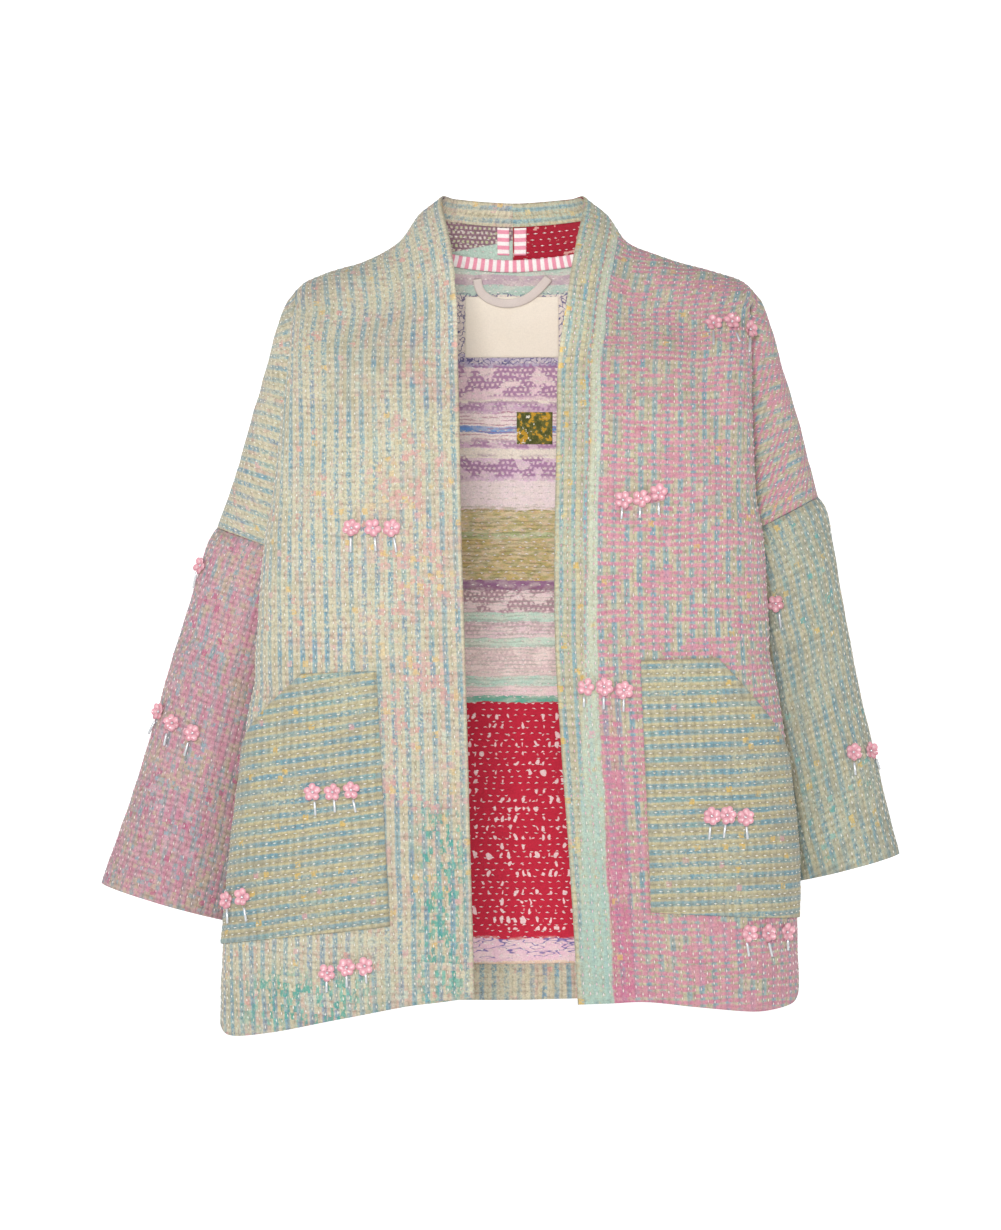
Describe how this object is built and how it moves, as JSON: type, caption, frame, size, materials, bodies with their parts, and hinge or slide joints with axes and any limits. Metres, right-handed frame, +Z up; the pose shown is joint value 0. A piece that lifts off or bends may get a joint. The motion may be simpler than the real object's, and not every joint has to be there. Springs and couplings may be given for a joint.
{
  "type": "quilted jacket",
  "caption": "Open-front quilted jacket with a cut-in-one stand collar, dropped shoulders, wide sleeves and slanted patch pockets, filled out as worn.",
  "frame": {"origin": "Where the neck and shoulders hold the jacket: on its middle plane, level with the back neck seam, on the line through both shoulder points.", "axes": "+X to the wearer's left, +Y to the back, +Z up; the front faces -Y."},
  "size_m": [0.7027, 0.2541, 0.7303],
  "materials": {
    "front_left": "matt quilted cotton",
    "front_right": "matt quilted cotton",
    "back": "matt quilted cotton",
    "sleeve_left": "matt quilted cotton",
    "sleeve_right": "matt quilted cotton",
    "pocket_left": "matt quilted cotton",
    "pocket_right": "matt quilted cotton",
    "facing_left": "matt cotton",
    "facing_right": "matt cotton",
    "hem_back": "matt cotton",
    "collar_tape_left": "matt cotton tape",
    "collar_tape_right": "matt cotton tape",
    "neck_tape": "soft cotton tape",
    "hanging_loop": "woven cotton strap",
    "label": "smooth woven cotton",
    "patch": "matt cotton"
  },
  "bodies": {
    "root": {"front_left": "front_left", "front_right": "front_right", "back": "back", "sleeve_left": "sleeve_left", "sleeve_right": "sleeve_right", "pocket_left": "pocket_left", "pocket_right": "pocket_right", "facing_left": "facing_left", "facing_right": "facing_right", "hem_back": "hem_back", "collar_tape_left": "collar_tape_left", "collar_tape_right": "collar_tape_right", "neck_tape": "neck_tape", "hanging_loop": "hanging_loop", "label": "label", "patch": "patch"}
  },
  "joints": []
}
